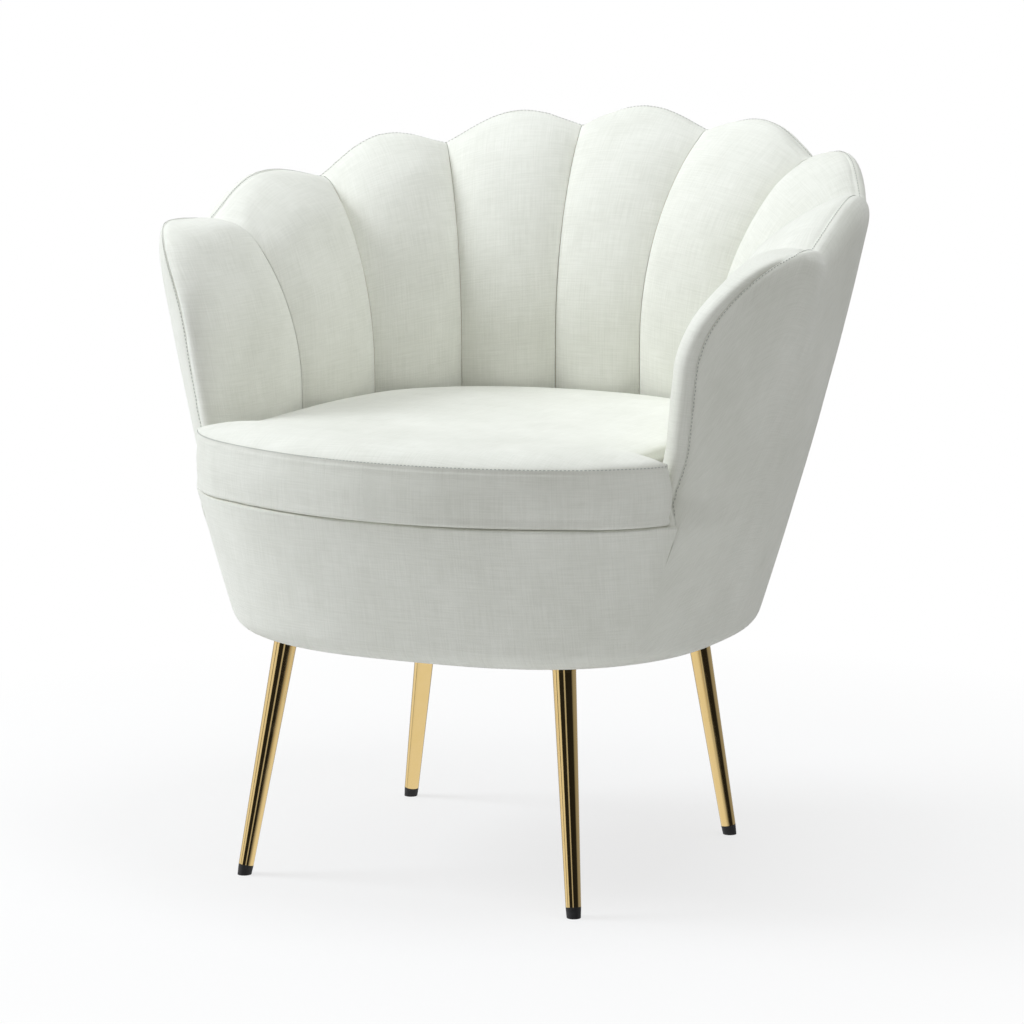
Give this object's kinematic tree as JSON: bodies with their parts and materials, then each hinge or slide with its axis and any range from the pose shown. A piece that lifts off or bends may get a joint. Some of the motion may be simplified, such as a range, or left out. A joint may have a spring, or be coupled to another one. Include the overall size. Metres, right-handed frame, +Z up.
{
  "type": "scallop back chair",
  "caption": "Upholstered tub armchair with a channelled scallop back, loose T-shaped seat cushion and splayed tapered metal legs.",
  "frame": {"origin": "middle of the overall box in plan, on the floor under the foot caps", "axes": "+Z up from the floor, -Y towards the front of the seat, +X to the sitter's left arm as they face -Y"},
  "size_m": [0.7678, 0.6896, 0.7979],
  "materials": {
    "velvet": "soft ivory velvet, short pile",
    "foam": "matte foam",
    "plywood": "raw plywood",
    "solid_wood": "raw timber",
    "gold_metal": "polished",
    "black_rubber": "matte",
    "steel": "plain zinc",
    "black_metal": "satin black",
    "clip_plastic": "moulded",
    "lining_cloth": "thin non-woven cloth"
  },
  "bodies": {
    "frame": {"apron_board": "plywood", "apron_cover": "velvet", "apron_padding": "foam", "arm_board_left": "plywood", "arm_board_right": "plywood", "back_rib_1": "plywood", "back_rib_2": "plywood", "back_rib_3": "plywood", "back_rib_4": "plywood", "back_rib_5": "plywood", "back_rib_6": "plywood", "back_rib_7": "plywood", "back_rib_8": "plywood", "base_board": "plywood", "bay_board_1": "plywood", "bay_board_2": "plywood", "bay_board_3": "plywood", "bay_board_4": "plywood", "bay_board_5": "plywood", "bay_board_6": "plywood", "bay_board_7": "plywood", "bay_board_8": "plywood", "bay_board_9": "plywood", "channel_pad_1": "foam", "channel_pad_2": "foam", "channel_pad_3": "foam", "channel_pad_4": "foam", "channel_pad_5": "foam", "channel_pad_6": "foam", "channel_pad_7": "foam", "channel_pad_8": "foam", "channel_pad_9": "foam", "corner_posts": "solid_wood", "deck_cover": "lining_cloth", "deck_pad": "foam", "drum_ribs": "solid_wood", "dust_cover": "lining_cloth", "foot_cap_back_left": "black_rubber", "foot_cap_back_right": "black_rubber", "foot_cap_front_left": "black_rubber", "foot_cap_front_right": "black_rubber", "inner_cover": "velvet", "leg_back_left": "gold_metal", "leg_back_right": "gold_metal", "leg_front_left": "gold_metal", "leg_front_right": "gold_metal", "leg_plates": "black_metal", "leg_screws": "steel", "outer_board": "plywood", "outer_cover": "velvet", "seat_ring": "plywood", "spring_clips": "clip_plastic", "wall_padding_back": "foam", "wall_padding_left": "foam", "wall_padding_right": "foam", "zigzag_springs": "steel"},
    "seat_cushion": {"cushion_foam": "foam", "cushion_top_panel": "velvet", "cushion_band": "velvet", "cushion_base_panel": "velvet"}
  },
  "joints": [
    {"name": "cushion_lift", "type": "slide", "parent": "frame", "child": "seat_cushion", "axis": [0, 0, 1], "range_m": [0, 0.3]}
  ]
}
